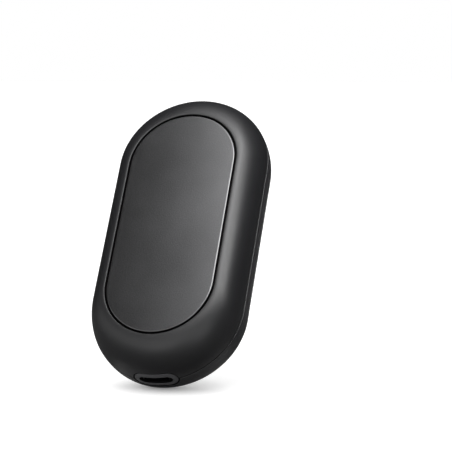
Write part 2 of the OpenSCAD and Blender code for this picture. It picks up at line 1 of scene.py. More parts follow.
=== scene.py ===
"""Rechargeable hand warmer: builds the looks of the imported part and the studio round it.

The part stands on its port end: X across the palm, Y through the thickness (heating plate towards -Y,
button towards +Y), Z along the length. Every size is in metres. A height is measured from the seam
between the two covers outwards: towards -Y on the front cover and towards +Y on the rear cover.
"""

import json
import math

import bmesh
import bpy
import numpy as np
from bpy.props import FloatProperty, FloatVectorProperty, PointerProperty
from bpy.types import Operator, Panel, PropertyGroup
from mathutils import Matrix, Vector, geometry


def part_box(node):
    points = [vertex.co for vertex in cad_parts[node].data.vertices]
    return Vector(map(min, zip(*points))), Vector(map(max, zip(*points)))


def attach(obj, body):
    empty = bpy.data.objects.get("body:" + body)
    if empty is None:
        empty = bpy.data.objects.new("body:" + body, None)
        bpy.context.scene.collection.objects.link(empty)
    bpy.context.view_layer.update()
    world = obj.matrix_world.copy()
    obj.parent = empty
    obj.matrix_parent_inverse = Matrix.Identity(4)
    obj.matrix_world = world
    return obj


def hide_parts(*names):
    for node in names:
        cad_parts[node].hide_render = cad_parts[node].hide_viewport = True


bl_info = {
    "name": "Rechargeable hand warmer",
    "version": (1, 0, 0),
    "blender": (4, 5, 0),
    "location": "3D View > Sidebar > Hand warmer",
    "description": "Builds a rechargeable hand warmer and a small studio round it",
    "category": "Object",
}

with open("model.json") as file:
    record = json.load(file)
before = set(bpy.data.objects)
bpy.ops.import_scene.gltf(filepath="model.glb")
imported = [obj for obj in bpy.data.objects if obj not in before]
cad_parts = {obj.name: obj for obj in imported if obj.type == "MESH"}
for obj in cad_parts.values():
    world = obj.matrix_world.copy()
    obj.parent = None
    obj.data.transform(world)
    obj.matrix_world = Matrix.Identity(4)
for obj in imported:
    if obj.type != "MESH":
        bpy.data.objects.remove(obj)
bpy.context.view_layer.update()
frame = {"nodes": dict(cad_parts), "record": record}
PLATE_LOW, PLATE_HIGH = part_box("heating_plate")
BUTTON_LOW, BUTTON_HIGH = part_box("power_button")
PORT_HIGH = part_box("port_surround")[1]
REAR_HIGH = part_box("rear_shell")[1]

# Fineness of the surfaces
QUARTER_STEPS = 60  # columns in each quarter turn of an outline
SIDE_STEPS = 14  # columns along each straight side
LOW_LEVELS = 12  # levels beside the port
HIGH_LEVELS = 46  # levels from there to the flat face
GAP_ROWS = 3  # rows of the seam's shadow gap: its floor and its wall
ROUND_STEPS = 5  # rows in a small rounded edge
CAP_ROWS = 5  # rows across a flat cap
ZONE_COLUMNS = 16  # columns on each side of the port that its opening is let into
ZONE_ROWS = 9  # rows between the port's opening and the plain skin
RING_TURN_STEPS = 18  # columns in each quarter turn of the port ring
RING_SIDE_STEPS = 24  # columns along each straight side of that ring
RING_ROWS = 12  # rows across the ring's face
DISH_ROWS = 14  # rows of the button's dished ring
CIRCLE_STEPS = 160  # columns round the button's hole
WELL_STEPS = 40  # columns round a light's hole
SYMBOL_REACH = 0.0036  # radius of the middle of the button's face, which holds its symbol
SYMBOL_ROWS = 80  # rings of that middle
BUTTON_REST = 0.0037  # radius from which the rest of the face has wider rings
BUTTON_ROWS = 8  # rings of that rest
BUTTON_STEPS = 360  # columns round the button
LEVEL_RIM = 0.00015  # width of the level ring round each hole, which keeps the flat face evenly shaded
MERGE_WITHIN = 2e-6  # points that lie closer together than this are made one

# The seam's shadow gap by its floor, the foot and the head of its wall and the end of its worn edge: levels
# as shares of its half width, and depths as shares of its depth
GAP_LEVEL_SHARES = np.array([0, 0.9, 1, 1.3])
GAP_DEPTH_SHARES = np.array([1, 1, 0.2, 0])

MM = 0.001


def size(name, description, default):
    """A length that a user can change, in metres."""
    return FloatProperty(name=name, description=description, default=default, precision=5, unit="LENGTH")


def share(name, description, default):
    """A plain number that a user can change."""
    return FloatProperty(name=name, description=description, default=default, precision=3)


def degrees(name, description, default):
    """An angle that a user can change, given in degrees."""
    return FloatProperty(name=name, description=description, default=math.radians(default), subtype="ANGLE")


def linear(hex_code):
    """Turns an sRGB hex colour into linear RGB."""
    s = [int(hex_code[i : i + 2], 16) / 255 for i in (1, 3, 5)]
    return [v / 12.92 if v <= 0.04045 else ((v + 0.055) / 1.055) ** 2.4 for v in s]


def colour(name, description, hex_code):
    """A colour that a user can change, given as sRGB hex."""
    return FloatVectorProperty(
        name=name, description=description, default=linear(hex_code), subtype="COLOR", min=0, max=1
    )


class BodySizes(PropertyGroup):
    """Sizes of the two covers."""

    half_width: size("Half width", "Half the width across the palm", REAR_HIGH.x)
    half_length: size("Half length", "Half the length along the body", REAR_HIGH.z)
    half_thickness: size("Half thickness", "From the seam to either flat face", REAR_HIGH.y)
    rim_side: size("Side rim", "Width of the rounding beside the flat face", 0.0062)
    rim_end: size("End rim", "Width of the rounding beyond the flat face", 0.01015)
    wall: size("Wall", "Wall of the covers", 0.0017)
    seam: size("Seam", "Half the width of the shadow gap at the seam", 0.0002)
    seam_depth: size("Seam depth", "Depth of that gap", 0.0004)
    front_fullness: share("Front fullness", "How square the front rounding is; 2 is an ellipse", 1.8)
    rear_fullness: share("Rear fullness", "How square the rear rounding is; 2 is an ellipse", 2.5)
    zone_top: size("Zone height", "Height of the part of the skin that holds the port", 0.005)


class PlateSizes(PropertyGroup):
    """Sizes of the heating plate and its recess."""

    half_width: size("Half width", "Half the plate's width", PLATE_HIGH.x)
    half_length: size("Half length", "Half the plate's length", PLATE_HIGH.z)
    top: size("Top", "Height of the plate's outer face", -PLATE_LOW.y)
    bottom: size("Bottom", "Height of the plate's inner face", -PLATE_HIGH.y)
    bevel: size("Bevel", "Width and height of the bevel round the plate", 0.0003)
    gap: size("Gap", "Gap between the plate and its recess", 0.0007)
    lip: size("Lip", "Rounded lip round the mouth of the recess", 0.0002)
    ledge: size("Ledge", "Height of the ledge under the plate", 0.0102)
    ceiling: size("Ceiling", "Height of the front cover's inside", 0.0088)
    window_half_width: size("Window half width", "Half the width of the window in the ledge", 0.0145)
    window_half_length: size("Window half length", "Half the length of that window", 0.0295)
    window_corner: size("Window corner", "Corner radius of that window", 0.003)


class ButtonSizes(PropertyGroup):
    """Sizes of the button, its dished ring and the light wells."""

    centre: size("Centre", "Height of the button's centre along the body", (BUTTON_LOW.z + BUTTON_HIGH.z) / 2)
    top: size("Top", "Height of the button's outer face", BUTTON_HIGH.y)
    foot: size("Foot", "Height of the end of the button's stem", BUTTON_LOW.y)
    flange_radius: size("Flange", "Radius of the flange inside the cover", BUTTON_HIGH.x)
    flange_top: size("Flange top", "Height of the flange's outer face", 0.009)
    flange_bottom: size("Flange bottom", "Height of the flange's inner face", 0.0084)
    stem_radius: size("Stem", "Radius of the stem", 0.0014)
    radius: size("Radius", "Radius of the button", 0.00585)
    edge: size("Edge", "Rounded edge of the button", 0.00025)
    gap: size("Gap", "Gap between the button and its hole", 0.00038)
    dish_radius: size("Dish", "Outside radius of the dished ring", 0.008)
    dish_depth: size("Dish depth", "Depth of the dished ring at the hole", 0.0008)
    dish_curve: share("Dish curve", "How late the dished ring falls; 1 is a straight cone", 1.5)
    ring_bottom: size("Ring bottom", "Height of the ring inside the cover that guides the button", 0.0093)
    symbol_radius: size("Symbol", "Radius of the power symbol's arc", 0.00285)
    symbol_line: size("Symbol line", "Width of the engraved line at half its depth", 0.0005)
    symbol_depth: size("Symbol depth", "Depth of the engraved line", 0.0004)
    symbol_open: degrees("Symbol opening", "Half the angle left open at the top of the arc", 60)
    bar_low: size("Bar foot", "Lower end of the symbol's bar above the button's centre", -0.0003)
    bar_high: size("Bar head", "Upper end of the symbol's bar above the button's centre", 0.0033)
    light_arc: size("Light arc", "Radius of the arc of the three lights", 0.0116)
    light_step: degrees("Light step", "Angle between neighbouring lights", 31)
    well_radius: size("Well", "Radius of each light's hole", 0.000625)
    well_edge: size("Well edge", "Rounded edge of each light's hole", 0.00012)
    inside: size("Inside", "Height of the rear cover's inside", 0.0099)


class PortSizes(PropertyGroup):
    """Sizes of the ring round the charging port."""

    width: size("Width", "Width of the ring", 0.0142)
    height: size("Height", "Height of the ring", 0.0064)
    mouth_width: size("Mouth width", "Width of the mouth", 0.011)
    mouth_height: size("Mouth height", "Height of the mouth", 0.0035)
    mouth_depth: size("Mouth depth", "Depth of the mouth below the end of the body", 0.0014)
    throat_width: size("Throat width", "Width of the passage for the socket", 0.00918)
    throat_height: size("Throat height", "Height of that passage", 0.00348)
    back: size("Back", "Where the ring ends inside the body, along the length", PORT_HIGH.z)
    ear_width: size("Ear width", "Width over the two ears that hold the ring", 2 * PORT_HIGH.x)
    ear_height: size("Ear height", "Height of the ears", 0.004)
    ear_length: size("Ear length", "Length of the ears along the body", 0.0008)
    ear_root: share("Ear root", "Where the ears start, as a share of half the ring's width", 0.9)
    fit: size("Fit", "Gap between the ring and the covers", 0.0003)
    sink: size("Sink", "How far the ring's face lies below the covers' skin", 0.00006)
    edge: size("Edge", "Rounded edge of the ring and of its opening", 0.00016)


class Finishes(PropertyGroup):
    """Colours of the surfaces that show."""

    shell: colour("Covers", "Soft-touch black plastic", "#0f0f11")
    plate: colour("Plate", "Dark grey anodised aluminium", "#59595a")
    plate_edge: colour("Plate edge", "Cut edge of the plate, anodised over the cut", "#707071")
    button: colour("Button", "Fine matt black plastic", "#161618")
    port: colour("Port ring", "Satin dark grey plastic", "#39393b")
    # Painted shade: a black darker than the covers, for the walls and floors of gaps and holes, so that they
    # look black
    painted_shade: colour("Bare plastic", "Black plastic inside gaps, where the spray does not reach", "#050505")


class Studio(PropertyGroup):
    """The camera, the lamps, the light from all round, the floor with its cards, and the drape."""

    distance: size("Camera distance", "From the camera to the centre of the part", 0.6906)
    lens: FloatProperty(name="Lens", description="Focal length", default=170.9, unit="CAMERA")
    aim_right: share("Aim right", "Pixels that the frame's middle lies right of the part's centre", 44.05)
    aim_up: share("Aim up", "Pixels that it lies above the part's centre", 13.09)
    lamp_level: share("Lamp level", "Multiplies the strength of every lamp", 1.0)
    ambient: share("Ambient", "Level of the light that comes from all round", 1.0)
    ambient_lean: share("Ambient lean", "What that light gains on the left and loses on the right", 0.8)
    floor_size: size("Floor", "Length of each side of the floor", 6.0)
    floor_tip: degrees("Floor tip", "How far the camera looks down on the floor", 6)
    card_lift: size("Card lift", "Height of the cards above the floor, and of the part above them", 0.00002)
    near_depth: size("Near card", "How far the card round the foot reaches before and behind it", 0.012)
    near_stretch: share("Near stretch", "How many times wider than deep that card is", 3.2)
    near_side: size("Near side", "How far right of the foot the middle of both cards lies", 0.012)
    near_grey: share("Near grey", "How pale the card round the foot is", 0.5)
    card_radius: size("Card radius", "How far the dark card beyond it reaches before and behind", 1.2)
    card_grey: share("Card grey", "How pale the dark card is", 0.15)
    drape_reach: degrees("Drape reach", "From the middle of the black drape to its edge", 100)
    drape_distance: size("Drape distance", "From the part to the black drape", 1.2)
    drape_grey: share("Drape grey", "How pale the black drape is", 0.004)


# Surfaces


def columns():
    """Round an outline: the corner that each column turns about, as signs along x and z, and its angle. It
    runs from the middle of the port end past +x, the button end and -x back to its first column, with a
    quarter turn at each corner."""
    turn = np.linspace(0, math.pi / 2, QUARTER_STEPS + 1)
    along = np.linspace(-1, 1, SIDE_STEPS + 2)[1:-1]
    one, flat = np.ones_like(turn), np.ones_like(along)
    sign_x = np.concatenate([one, flat, one, -one, -flat, -one, [1]])
    sign_z = np.concatenate([-one, along, one, one, -along, -one, [-1]])
    right, left = 0 * flat, math.pi * flat
    angle = np.concatenate(
        [turn - math.pi / 2, right, turn, turn + math.pi / 2, left, turn + math.pi, [1.5 * math.pi]]
    )
    return sign_x, sign_z, angle


def outline(half_width, half_length, corner, height, side):
    """Rings round rounded rectangles, one for each half width: a corner's centre lies in from the ring by
    its radius, and a point lies that radius out from the centre at the column's angle."""
    sign_x, sign_z, angle = columns()
    sizes = np.broadcast_arrays(half_width, half_length, corner, height)
    wide, long, r, h = (np.asarray(v, float)[:, None] for v in sizes)
    x = sign_x * (wide - r) + r * np.cos(angle)
    z = sign_z * (long - r) + r * np.sin(angle)
    return np.stack([x, side * h + 0 * x, z], axis=-1)


class Skin:
    """One wall surface of a cover. At a height the outline has drawn in by a share c of the rim, where
    (1 - c)^f + (height / depth)^f = 1 and f is the fullness; in the seam's shadow gap it steps in again."""

    def __init__(self, body, side, fullness, depth, trim, gap_depth):
        self.body, self.side, self.fullness = body, side, fullness
        self.depth, self.trim, self.gap_depth = depth, trim, gap_depth

    def gap_heights(self):
        """Levels of the seam's shadow gap."""
        return self.body.seam * GAP_LEVEL_SHARES

    def halves(self, height):
        """Half width and half length of the outline at a height."""
        f = self.fullness
        level = np.clip(np.asarray(height, float) / self.depth, 0, 1)
        drawn = 1 - (1 - level**f) ** (1 / f)
        off = self.trim + self.gap_depth * np.interp(height, self.gap_heights(), GAP_DEPTH_SHARES)
        return (
            self.body.half_width - off - self.body.rim_side * drawn,
            self.body.half_length - off - self.body.rim_end * drawn,
        )

    def heights(self):
        """Levels: even ones beside the port, then ones at even angles of the rounding up to its flat top."""
        gap = self.gap_heights()
        low = np.concatenate([gap, np.linspace(gap[-1], self.body.zone_top, LOW_LEVELS - 2)[1:]])
        start = math.asin((self.body.zone_top / self.depth) ** (self.fullness / 2))
        angle = np.linspace(start, math.pi / 2, HIGH_LEVELS)[1:]
        return np.concatenate([low, self.depth * np.sin(angle) ** (2 / self.fullness)])

    def rings(self):
        """All levels as rings of an outline with half-round ends."""
        h = self.heights()
        wide, long = self.halves(h)
        return outline(wide, long, wide, h, self.side)

    def end(self, across, height):
        """Points of the port end, where across is x as a share of the half width at that height:
        z = -(straight half + half width * sqrt(1 - across^2))."""
        wide, long = self.halves(height)
        z = -(long - wide + wide * np.sqrt(1 - across**2))
        return np.stack([across * wide, self.side * height, z], axis=-1)


def slot(width, height, angles, middle):
    """Upper half of a slot with half-round ends, from -x to +x: quarter turns at the given angles with a
    straight run between them. Returns x and height."""
    r, c = height / 2, (width - height) / 2
    left, right = math.pi - angles, angles[::-1]
    x = np.concatenate([-c + r * np.cos(left), np.linspace(-c, c, middle + 2)[1:-1], c + r * np.cos(right)])
    h = np.concatenate([r * np.sin(left), np.full(middle, r), r * np.sin(right)])
    return x, h


def port_zone(outer, inner, port):
    """The skin beside the port, from the plain skin to the opening's rounded edge, and what lies behind it:
    that edge and the way through the wall, back along the inside and down both seams. Each row is a straight
    blend in share across and height. The opening's first columns keep the levels of the seam's gap, whose
    angles round its half-round end are about height by radius."""
    low = outer.heights()[: LOW_LEVELS + 1]
    _, _, angle = columns()
    beside = np.cos(angle[ZONE_COLUMNS])
    top = np.cos(np.concatenate([angle[-2 - ZONE_COLUMNS : -2], angle[: ZONE_COLUMNS + 1]]))
    across = np.concatenate([np.full(len(low) - 1, -beside), top, np.full(len(low) - 1, beside)])
    height = np.concatenate([low[:-1], np.full(len(top), low[-1]), low[::-1][1:]])

    opening_w, opening_h = port.width + 2 * port.fit, port.height + 2 * port.fit
    gap = outer.gap_heights() / (opening_h / 2)
    turns = len(across) // 3
    angles = np.concatenate([gap[:-1], np.linspace(gap[-1], math.pi / 2, turns - len(gap) + 1)])
    middle = len(across) - 2 * turns
    blend = np.linspace(0, 1, ZONE_ROWS + 1)[:, None]

    x, h = slot(opening_w + 2 * port.edge, opening_h + 2 * port.edge, angles, middle)
    shown = outer.end(across + blend * (x / outer.halves(h)[0] - across), height + blend * (h - height))
    turn = np.linspace(0, math.pi / 2, ROUND_STEPS)[1:]
    edge = []
    for a in turn:
        grow = 2 * port.edge * (1 - math.sin(a))
        x, h = slot(opening_w + grow, opening_h + grow, angles, middle)
        row = outer.end(x / outer.halves(h)[0], h)
        row[:, 2] += port.edge * (1 - math.cos(a))
        edge.append(row)
    inside = inner.end(across + blend * (x / inner.halves(h)[0] - across), height + blend * (h - height))
    skin, fan = np.concatenate([shown, np.array(edge)]), [ZONE_ROWS] * len(edge)
    seams = [np.stack([skin[:, i], np.concatenate([inside, inside[fan]])[:, i]]) for i in (0, -1)]
    return shown, [skin[ZONE_ROWS:], np.concatenate([skin[-1:], inside[::-1]]), *seams]


def beside_port(rings):
    """The low levels of a skin, with the columns of the port's zone left out."""
    return rings[: LOW_LEVELS + 1, ZONE_COLUMNS : -1 - ZONE_COLUMNS]


def cover_sides(outer, inner, port):
    """What both covers have from the seam up to beside the port, as grids to spray, which are the skin and
    the port's zone, and grids given the darker black of painted shade: the seam's shadow gap, its flat, the
    inside and the way through the wall."""
    skin, walls = port_zone(outer, inner, port)
    low, back = beside_port(outer.rings()), beside_port(inner.rings())
    sprayed = [low[GAP_ROWS - 1 :], skin[:, GAP_ROWS - 1 : 1 - GAP_ROWS]]
    painted_shade = [low[:GAP_ROWS], skin[:, :GAP_ROWS], skin[:, -GAP_ROWS:]]
    painted_shade += [back, np.stack([low[0], back[0]]), *walls]
    return sprayed, painted_shade


def lathe(profile, centre, steps):
    """A profile of radius and height carried round an axis along y through the centre (x, z)."""
    angle = np.linspace(0, 2 * math.pi, steps + 1)
    r, h = np.asarray(profile, float).T[:, :, None]
    x, z = centre[0] + r * np.cos(angle), centre[1] + r * np.sin(angle)
    return np.stack([x, h + 0 * x, z], axis=-1)


def rounded(radius, height, edge, outwards):
    """Profile points of a quarter-round edge between a face at a height and a wall at a radius:
    the face side first. Outwards is +1 for a hole, whose face lies outside the wall, and -1 for a boss."""
    a = np.linspace(0, math.pi / 2, ROUND_STEPS)
    return np.stack([radius + outwards * edge * (1 - np.sin(a)), height - edge * (1 - np.cos(a))], axis=-1)


def face_with_holes(outer, holes, height):
    """Flat face between an outline and round holes, each given by its centre, radius and columns: of the
    triangles of all their points, those with a corner further from every hole's centre than its radius."""
    rings = [outer[:, [0, 2]]] + [lathe([(r, 0)], c, n)[0, :-1][:, [0, 2]] for c, r, n in holes]
    points, edges = [], []
    for ring in rings:
        keep = np.linalg.norm(ring - np.roll(ring, 1, axis=0), axis=1) > MERGE_WITHIN
        ring, start = ring[keep], len(points)
        points += [Vector(p) for p in ring]
        edges += [(start + i, start + (i + 1) % len(ring)) for i in range(len(ring))]
    flat, _, triangles, *_ = geometry.delaunay_2d_cdt(points, edges, [], 1, 1e-9)
    flat, triangles = np.array([tuple(p) for p in flat]), np.array(triangles)
    for c, r, _ in holes:
        beyond = np.linalg.norm(flat - c, axis=1) > r + MERGE_WITHIN
        triangles = triangles[beyond[triangles].any(axis=1)]
    return np.stack([flat[:, 0], np.full(len(flat), height), flat[:, 1]], axis=-1), triangles


def stadium_cap(ring):
    """Flat cap inside one ring: each column on the +x half is joined by a straight row to its mirror."""
    half = len(ring) // 2
    right, left = ring[:half], ring[half:-1][::-1]
    blend = np.linspace(0, 1, CAP_ROWS)[:, None, None]
    return right + blend * (left - right)


def box_faces(low, high):
    """A closed box from its two corners, as one grid of four sides and two end grids."""
    x, y, z = zip(low, high)
    loop = np.array([(x[0], y[0]), (x[1], y[0]), (x[1], y[1]), (x[0], y[1]), (x[0], y[0])])
    sides = np.array([[(a, b, c) for a, b in loop] for c in z])
    ends = [np.array([[(x[0], b, c), (x[1], b, c)] for b in y]) for c in z]
    return [sides, *ends]


def engraving(x, up, button):
    """Depth of the power symbol at points of the button's face. The distance to the symbol's middle line is
    the distance to its arc (to the arc's ends where the arc is open) or to its bar, whichever is less, and
    the depth falls softly from full in the middle to none at the line's width from it."""
    radius, turn = np.hypot(x, up), np.arctan2(np.abs(x), up)
    open_at = button.symbol_open
    end_x, end_up = button.symbol_radius * math.sin(open_at), button.symbol_radius * math.cos(open_at)
    to_arc = np.where(
        turn > open_at,
        np.abs(radius - button.symbol_radius),
        np.hypot(np.abs(x) - end_x, up - end_up),
    )
    half = button.symbol_line / 2
    to_bar = np.hypot(x, up - np.clip(up, button.bar_low + half, button.bar_high - half))
    t = np.clip(1 - np.minimum(to_arc, to_bar) / button.symbol_line, 0, 1)
    return button.symbol_depth * t * t * (3 - 2 * t)


def grid_quads(rows, columns):
    """The faces of a grid of points, each by the numbers of its four corners."""
    corner = np.arange((rows - 1) * columns).reshape(rows - 1, columns)[:, :-1].ravel()
    return np.stack([corner, corner + 1, corner + columns + 1, corner + columns], axis=-1)


def build(name, grids, materials, body, node, fills=(), smooth_to=38):
    """Makes one mesh object of grids and filled faces, each with its material's index, joins what meets,
    turns the faces outwards, keeps edges of more than smooth_to degrees sharp, hangs the piece on its body
    and hides the CAD node that it stands in for."""
    points, faces, indices, start = [], [], [], 0
    for grid, index in grids:
        quads = grid_quads(*grid.shape[:2])
        points.append(grid.reshape(-1, 3))
        faces.append(start + quads)
        indices.append(np.full(len(quads), index))
        start += len(points[-1])
    faces, points = np.concatenate(faces).tolist(), np.concatenate(points)
    for (filled, triangles), index in fills:
        faces += (triangles + len(points)).tolist()
        points = np.concatenate([points, filled])
        indices.append(np.full(len(triangles), index))
    mesh = bpy.data.meshes.new(name)
    mesh.from_pydata(points.tolist(), [], faces)
    mesh.polygons.foreach_set("material_index", np.concatenate(indices))
    bm = bmesh.new()
    bm.from_mesh(mesh)
    bmesh.ops.remove_doubles(bm, verts=bm.verts, dist=MERGE_WITHIN)
    bmesh.ops.dissolve_degenerate(bm, edges=bm.edges, dist=MERGE_WITHIN / 2)
    bmesh.ops.recalc_face_normals(bm, faces=bm.faces)
    bm.to_mesh(mesh)
    bm.free()
    mesh.polygons.foreach_set("use_smooth", np.ones(len(mesh.polygons), bool))
    mesh.set_sharp_from_angle(angle=math.radians(smooth_to))
    for material in materials:
        mesh.materials.append(material)
    piece = bpy.data.objects.new(name, mesh)
    bpy.context.scene.collection.objects.link(piece)
    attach(piece, body)
    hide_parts(node)


def mesh_points(piece):
    """The points of a piece's mesh."""
    flat = np.empty(3 * len(piece.data.vertices))
    piece.data.vertices.foreach_get("co", flat)
    return flat.reshape(-1, 3)


# Finishes

SEEING_RAYS = ("Is Camera Ray", "Is Glossy Ray", "Is Transmission Ray")
FINE_SHARE = 0.65  # how much of a grained surface's pattern is its fine noise
BROADER = 40  # how many times wider than the fine noise the broad one is
PATTERN_LOW, PATTERN_HIGH = 0.3, 0.7  # nearly all of the pattern lies between these
INNER_SPREAD = 0.05  # how far the roughness of an inner part varies either way


def add(tree, kind, values=None, links=None, **settings):
    """Adds a node with its settings, socket values and links."""
    node = tree.nodes.new(kind)
    for name, value in settings.items():
        setattr(node, name, value)
    for socket, value in (values or {}).items():
        node.inputs[socket].default_value = value
    for socket, source in (links or {}).items():
        tree.links.new(source, node.inputs[socket])
    return node


def new_tree(name):
    """An empty material and its node tree."""
    material = bpy.data.materials.new(name)
    material.use_nodes = True
    material.node_tree.nodes.clear()
    return material, material.node_tree


def grained(name, colours, grain, depth, rough, spread, metallic=0.0, specular=0.5):
    """A moulded, blasted or sprayed surface. Two sizes of noise on the object's own coordinates, the fine
    one with cells of the grain's size and the broad one many times as wide, vary the colour between two
    values and the roughness about its middle, and the fine one also lifts the surface by the depth. The
    grain and the depth are in millimetres."""
    material, tree = new_tree(name)
    place = {"Vector": add(tree, "ShaderNodeTexCoord").outputs["Object"]}
    cells = 1 / (grain * MM)
    fine = add(tree, "ShaderNodeTexNoise", {"Scale": cells, "Detail": 3.0, "Roughness": 0.6}, place)
    broad = add(tree, "ShaderNodeTexNoise", {"Scale": cells / BROADER, "Detail": 2.0}, place)
    rest = add(tree, "ShaderNodeMath", {1: 1 - FINE_SHARE}, {0: broad.outputs["Fac"]}, operation="MULTIPLY")
    both = {0: fine.outputs["Fac"], 2: rest.outputs[0]}
    pattern = add(tree, "ShaderNodeMath", {1: FINE_SHARE}, both, operation="MULTIPLY_ADD").outputs[0]
    dark, light = ((*rgb, 1) for rgb in colours)
    tone = add(tree, "ShaderNodeMix", {"A": dark, "B": light}, {"Factor": pattern}, data_type="RGBA")
    span = {"From Min": PATTERN_LOW, "From Max": PATTERN_HIGH}
    span |= {"To Min": rough - spread, "To Max": rough + spread}
    gloss = add(tree, "ShaderNodeMapRange", span, {"Value": pattern})
    lift = {"Strength": 1.0, "Distance": depth * MM}
    relief = add(tree, "ShaderNodeBump", lift, {"Height": fine.outputs["Fac"]})
    surface = add(
        tree,
        "ShaderNodeBsdfPrincipled",
        {"Metallic": metallic, "Specular IOR Level": specular},
        {
            "Base Color": [o for o in tone.outputs if o.type == "RGBA"][0],
            "Roughness": gloss.outputs["Result"],
            "Normal": relief.outputs["Normal"],
        },
    )
    add(tree, "ShaderNodeOutputMaterial", links={"Surface": surface.outputs["BSDF"]})
    return material


def seen_by(tree):
    """One for the rays that see a surface or the surroundings, directly or in a reflection, else zero."""
    path = add(tree, "ShaderNodeLightPath")
    level, *others = (path.outputs[ray] for ray in SEEING_RAYS)
    for other in others:
        level = add(tree, "ShaderNodeMath", links={0: level, 1: other}, operation="MAXIMUM").outputs[0]
    return level


def shades(rgb, dark, light):
    """The two colours that a surface varies between, as multiples of its own colour."""
    return [v * dark for v in rgb], [v * light for v in rgb]


def shell_plastic(finishes):
    """Soft-touch ABS: moulded with a fine spark texture and sprayed, so it is deep black with a wide,
    velvety highlight. The real grain is about 0.05 mm; it is drawn at 0.3 mm, the least that shows."""
    colours = shades(finishes.shell, 0.85, 1.2)
    return grained(
        "soft_touch_black_abs", colours, grain=0.3, depth=0.008, rough=0.44, spread=0.03, specular=0.6
    )


def anodised_aluminium(finishes):
    """Bead-blasted, anodised aluminium: a metal with a soft, wide reflection and a fine sparkle. The beads
    leave pits of about 0.1 mm; they are drawn at 0.43 mm, the least that shows."""
    colours = shades(finishes.plate, 0.6, 1.4)
    return grained(
        "blasted_anodised_aluminium", colours, grain=0.43, depth=0.033, rough=0.32, spread=0.04, metallic=1.0
    )


def cut_edge(finishes):
    """The plate's bevel, cut after blasting and anodised over the cut: smoother, so it catches the light."""
    colours = shades(finishes.plate_edge, 0.95, 1.05)
    return grained(
        "cut_anodised_edge", colours, grain=0.6, depth=0.001, rough=0.34, spread=0.03, metallic=1.0
    )


def button_plastic(finishes):
    """Matt moulded ABS of the button: a little finer and flatter than the covers."""
    colours = shades(finishes.button, 0.9, 1.15)
    return grained("fine_matt_black_abs", colours, grain=0.2, depth=0.003, rough=0.5, spread=0.03)


def painted_shade_plastic(finishes):
    """Black ABS in the gaps round the plate and the port, along the seam and in the lights' holes: painted
    shade, darker than the covers and dull and almost without a reflection, so that the gaps look black."""
    colours = shades(finishes.painted_shade, 0.8, 1.2)
    return grained("black_abs_painted_gap_shade", colours, grain=0.3, depth=0.003, rough=0.8, spread=0.05, specular=0.1)


def satin_plastic(finishes):
    """Satin moulded plastic of the port ring: without the covers' spray, so a shade greyer."""
    colours = shades(finishes.port, 0.9, 1.1)
    return grained("satin_dark_grey_abs", colours, grain=0.3, depth=0.003, rough=0.42, spread=0.03)


# Inner parts: slot, name of the finish, two sRGB colours, grain in mm, relief in mm, roughness, metallic
INNER_FINISHES = {
    "tape": ("black_acrylic_foam_tape", "#0c0c0d", "#080809", 0.6, 0.02, 0.85, 0.0),
    "polyimide": ("amber_polyimide_film", "#a85a12", "#8a4306", 2.4, 0.01, 0.28, 0.0),
    "foam": ("closed_cell_foam", "#77797c", "#5f6164", 0.5, 0.08, 0.9, 0.0),
    "chip_epoxy": ("moulded_chip_epoxy", "#1a1a1b", "#232324", 0.3, 0.01, 0.55, 0.0),
    "pouch_foil": ("laminated_pouch_foil", "#c4c7cb", "#a9adb2", 3.0, 0.05, 0.3, 0.85),
    "nickel": ("nickel_strip", "#c9c5bc", "#b0aba1", 0.8, 0.01, 0.3, 1.0),
    "circuit_board": ("green_solder_resist", "#14502c", "#0d3a1f", 1.2, 0.03, 0.3, 0.0),
    "tray_plastic": ("moulded_tray_plastic", "#3a3b3e", "#323336", 0.4, 0.02, 0.6, 0.0),
    "red_insulation": ("red_silicone_insulation", "#a81f1c", "#8f1815", 0.5, 0.02, 0.5, 0.0),
    "black_insulation": ("black_silicone_insulation", "#1d1d1e", "#151516", 0.5, 0.02, 0.5, 0.0),
    # The socket's steel is coloured dark instead of bright nickel: painted shade, so that the port's mouth
    # looks black
    "socket_steel": ("stamped_steel_darkened_as_shade", "#2c2c2f", "#212124", 0.6, 0.01, 0.4, 1.0),
    "socket_plastic": ("glass_filled_black_plastic", "#1a1a1b", "#232324", 0.25, 0.01, 0.5, 0.0),
    "gold_plate": ("gold_plated_contact", "#d9b25a", "#c59a42", 0.2, 0.002, 0.25, 1.0),
    "ferrite": ("sintered_ferrite", "#3f3d3a", "#312f2d", 0.3, 0.03, 0.7, 0.0),
    "ceramic": ("sintered_ceramic", "#9c7f58", "#87693f", 0.25, 0.01, 0.45, 0.0),
    "connector_nylon": ("moulded_ivory_nylon", "#ddd8c8", "#cfc9b6", 0.4, 0.01, 0.5, 0.0),
    "screw_steel": ("zinc_plated_screw_steel", "#b1b3b6", "#8f9195", 0.4, 0.01, 0.32, 1.0),
    "led_resin": ("cast_lens_resin", "#e6dcae", "#d6c98f", 0.4, 0.002, 0.15, 0.0),
    "smoked_acrylic": ("smoked_acrylic", "#040404", "#060606", 0.4, 0.002, 0.35, 0.0),
}


# Operators


